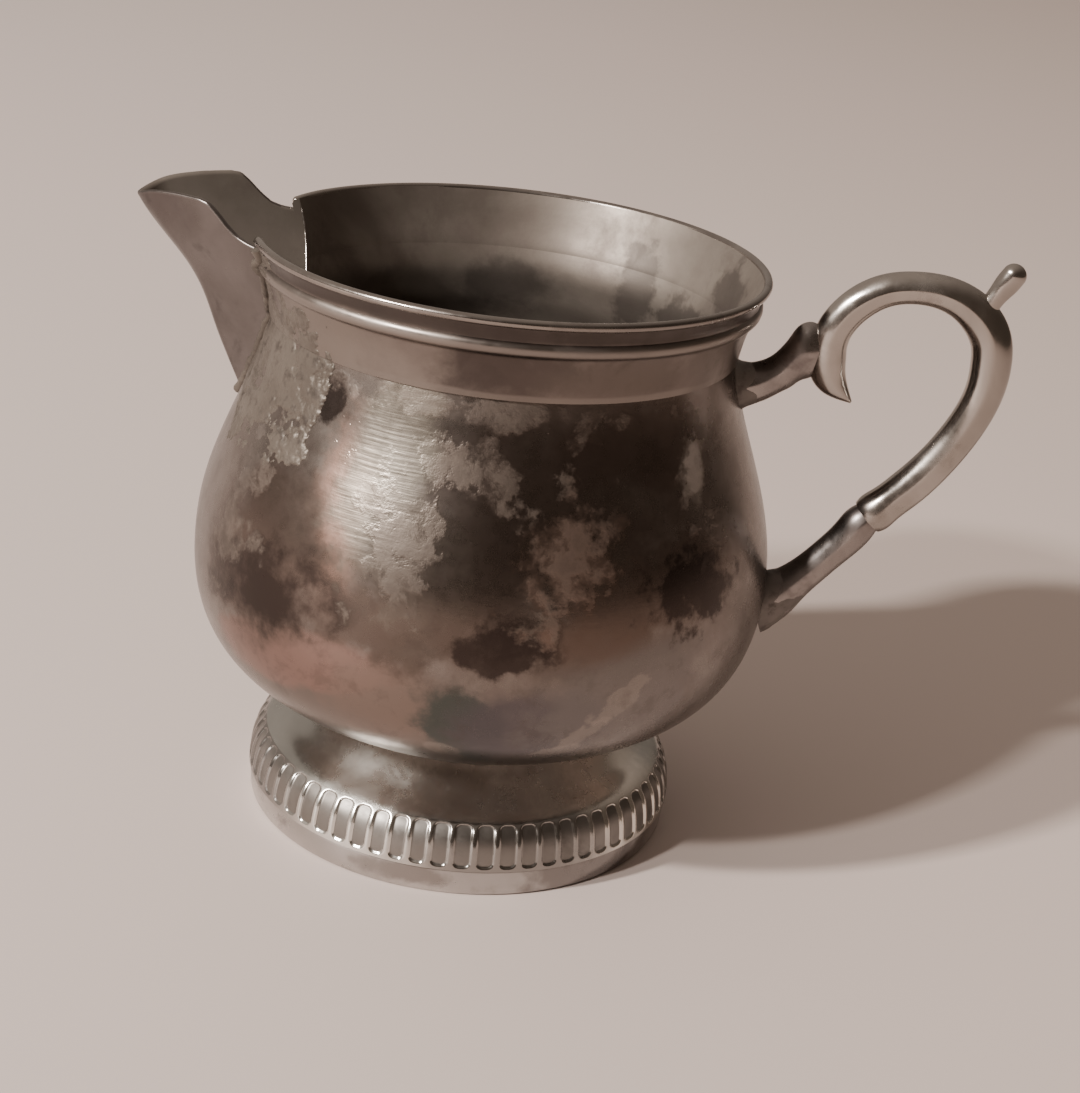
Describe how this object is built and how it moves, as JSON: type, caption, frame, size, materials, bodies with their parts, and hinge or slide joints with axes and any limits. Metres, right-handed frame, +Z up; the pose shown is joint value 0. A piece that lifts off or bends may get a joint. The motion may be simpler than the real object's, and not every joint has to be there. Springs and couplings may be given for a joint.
{
  "type": "cream jug",
  "caption": "Small footed silver-plated cream jug with a round belly, flared collar, pointed spout, fluted pedestal foot and scrolled handle with thumb spur.",
  "frame": {"origin": "centre of the foot ring's underside, on the surface the jug stands on", "axes": "+Z up along the bowl's axis, +X towards the handle, -X towards the spout; the X-Z plane cuts the spout and handle in half"},
  "size_m": [0.1198, 0.0808, 0.0891],
  "materials": {
    "bowl_plate": "tarnished silver plate over brass, satin",
    "collar_plate": "tarnished silver plate over brass, satin",
    "rim_plate": "worn polished silver plate over brass",
    "spout_plate": "tarnished silver plate over brass, satin",
    "foot_plate": "worn silver plate over brass, polished ridges",
    "foot_band_plate": "polished silver plate over brass",
    "handle_plate": "polished silver plate over cast brass",
    "solder": "dull grey-tan soft solder, pitted"
  },
  "bodies": {
    "root": {"bowl": "bowl_plate", "neck_collar": "collar_plate", "rim_wire": "rim_plate", "spout": "spout_plate", "spout_solder": "solder", "foot_dome": "foot_plate", "foot_ring": "foot_band_plate", "foot_solder": "solder", "handle_upper_bracket": "handle_plate", "handle_grip": "handle_plate", "handle_lower_bracket": "handle_plate", "handle_upper_solder": "solder", "handle_lower_solder": "solder"}
  },
  "joints": []
}
